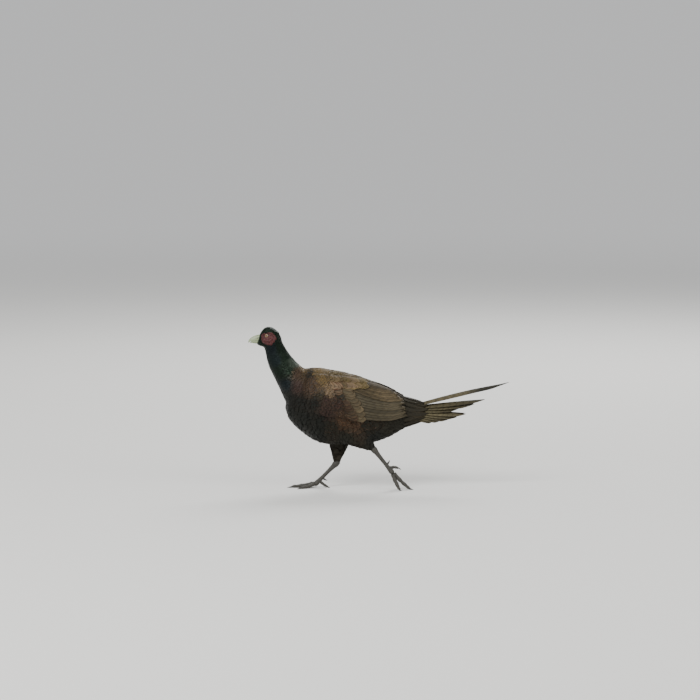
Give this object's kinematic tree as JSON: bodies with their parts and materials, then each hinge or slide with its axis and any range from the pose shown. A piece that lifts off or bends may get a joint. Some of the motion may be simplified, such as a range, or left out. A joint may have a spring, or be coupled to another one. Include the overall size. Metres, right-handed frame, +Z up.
{
  "type": "common pheasant",
  "caption": "Life-size still model of a cock common pheasant walking, dark green head, red face, coppery body and a short tapering tail.",
  "frame": {"origin": "on the floor, at the middle of the box round the whole bird", "axes": "+Z up, +X towards the tail, -X towards the bill, the bird's left side faces -Y"},
  "size_m": [0.575, 0.1274, 0.3604],
  "materials": {
    "head_feathers": "small glossy green-black feathers",
    "body_feathers": "satin copper-brown feathers with dark spots and buff edges",
    "wing_feathers": "matt brown-grey feathers with buff edges",
    "tail_feathers": "satin buff-brown feathers with dark bars",
    "thigh_feathers": "matt black-brown feathers",
    "face_skin": "matt red skin with small folds and bumps",
    "bill": "smooth pale horn",
    "eye": "clear and wet, amber-brown iris with a black pupil",
    "leg_scales": "dry grey-brown scales",
    "claw": "dark horn"
  },
  "bodies": {
    "root": {"head": "head_feathers", "neck": "head_feathers", "torso": "body_feathers", "tail": "tail_feathers", "wing_left": "wing_feathers", "wing_right": "wing_feathers", "bill_upper": "bill", "bill_lower": "bill", "eye_left": "eye", "eye_right": "eye", "wattle_left": "face_skin", "wattle_right": "face_skin", "thigh_left": "thigh_feathers", "thigh_right": "thigh_feathers", "tarsus_left": "leg_scales", "tarsus_right": "leg_scales", "spur_left": "claw", "spur_right": "claw", "toe_left_1": "leg_scales", "toe_left_2": "leg_scales", "toe_left_3": "leg_scales", "toe_left_4": "leg_scales", "toe_right_1": "leg_scales", "toe_right_2": "leg_scales", "toe_right_3": "leg_scales", "toe_right_4": "leg_scales", "claw_left_1": "claw", "claw_left_2": "claw", "claw_left_3": "claw", "claw_left_4": "claw", "claw_right_1": "claw", "claw_right_2": "claw", "claw_right_3": "claw", "claw_right_4": "claw"}
  },
  "joints": []
}
